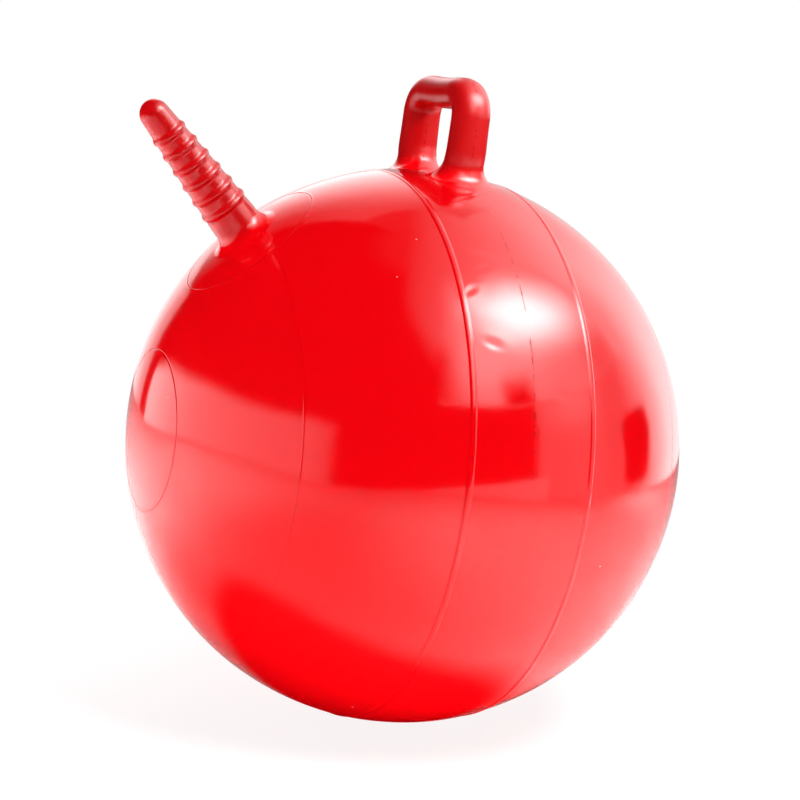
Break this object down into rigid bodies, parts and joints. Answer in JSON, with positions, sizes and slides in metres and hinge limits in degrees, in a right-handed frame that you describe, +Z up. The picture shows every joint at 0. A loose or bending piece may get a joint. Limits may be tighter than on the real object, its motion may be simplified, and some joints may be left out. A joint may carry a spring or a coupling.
{
  "type": "hopper ball",
  "caption": "Inflated soft-vinyl hopper ball with a moulded carrying loop on top, a ribbed horn grip leaning forward and an air plug that pulls out of the back.",
  "frame": {"origin": "middle of the flat patch that the ball stands on", "axes": "+Z up through the carrying loop, -Y towards the front disc and the horn, X across the loop"},
  "size_m": [0.5498, 0.5845, 0.638],
  "materials": {
    "red_vinyl": "gloss",
    "white_plug": "satin"
  },
  "bodies": {
    "ball": {"centre_band": "red_vinyl", "front_dome": "red_vinyl", "rear_dome": "red_vinyl", "front_disc": "red_vinyl", "rear_disc": "red_vinyl", "horn_grip": "red_vinyl", "carry_handle": "red_vinyl", "valve_seat": "red_vinyl"},
    "plug": {"air_plug": "white_plug"}
  },
  "joints": [
    {"name": "plug_pull", "type": "slide", "parent": "ball", "child": "plug", "axis": [0, 1, 0], "range_m": [0, 0.035]}
  ]
}
